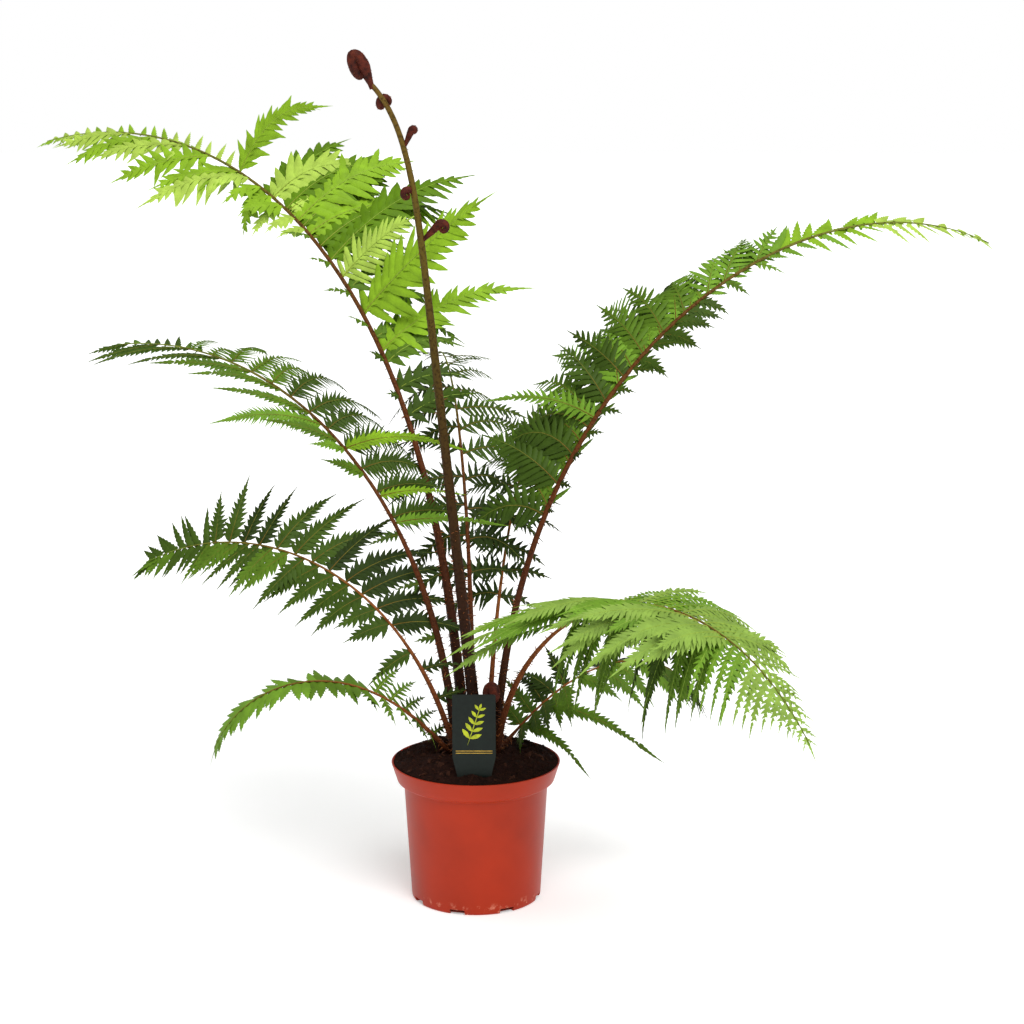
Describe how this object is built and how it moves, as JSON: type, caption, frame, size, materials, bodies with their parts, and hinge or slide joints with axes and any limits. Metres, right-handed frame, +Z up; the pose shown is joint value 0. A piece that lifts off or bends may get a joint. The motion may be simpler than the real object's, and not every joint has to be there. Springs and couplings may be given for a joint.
{
  "type": "potted australian tree fern",
  "caption": "Young potted tree fern: arching feathery fronds, an uncurling young frond and a furled bud on a short crown in a round terracotta-coloured nursery pot of soil.",
  "frame": {"origin": "centre of the pot's flat underside", "axes": "+Z up, +X to the right and +Y away from the viewer of the picture"},
  "size_m": [1.3154, 0.9224, 1.0354],
  "materials": {
    "pot_plastic": "semi-gloss terracotta-coloured moulded plastic, scuffed at the bottom edge",
    "potting_soil": "moist dark crumbly potting mix",
    "crown_fibre": "matted dark brown scales and fibres",
    "tag_card": "satin dark green plastic card",
    "coil_scales": "reddish brown scaly coil",
    "young_stalk": "olive brown stalk, darker at the foot",
    "frond_stalk": "orange brown stalk with fine prickles",
    "frond_bright": "lime green leaflets, satin",
    "frond_green": "fresh green leaflets, satin",
    "frond_deep": "deep green leaflets, satin",
    "frond_dark": "dark green leaflets, satin"
  },
  "bodies": {
    "root": {"pot": "pot_plastic", "soil": "potting_soil", "crown": "crown_fibre", "tag": "tag_card", "bud": "coil_scales", "young_frond_stalk": "young_stalk", "young_frond_head": "coil_scales", "young_frond_curl_1": "coil_scales", "young_frond_curl_2": "coil_scales", "young_frond_curl_3": "coil_scales", "young_frond_curl_4": "coil_scales", "frond_high_left_stalk": "frond_stalk", "frond_high_left_blade": "frond_bright", "frond_high_left_tip": "frond_bright", "frond_high_right_stalk": "frond_stalk", "frond_high_right_blade": "frond_green", "frond_high_right_tip": "frond_green", "frond_mid_left_stalk": "frond_stalk", "frond_mid_left_blade": "frond_deep", "frond_mid_left_tip": "frond_deep", "frond_low_left_stalk": "frond_stalk", "frond_low_left_blade": "frond_deep", "frond_low_left_tip": "frond_deep", "frond_front_right_stalk": "frond_stalk", "frond_front_right_blade": "frond_green", "frond_front_right_tip": "frond_green", "frond_small_left_stalk": "frond_stalk", "frond_small_left_blade": "frond_green", "frond_small_left_tip": "frond_green", "frond_small_right_stalk": "frond_stalk", "frond_small_right_blade": "frond_deep", "frond_small_right_tip": "frond_deep", "frond_back_right_stalk": "frond_stalk", "frond_back_right_blade": "frond_dark", "frond_back_right_tip": "frond_dark", "frond_back_stalk": "frond_stalk", "frond_back_blade": "frond_dark", "frond_back_tip": "frond_dark"}
  },
  "joints": []
}
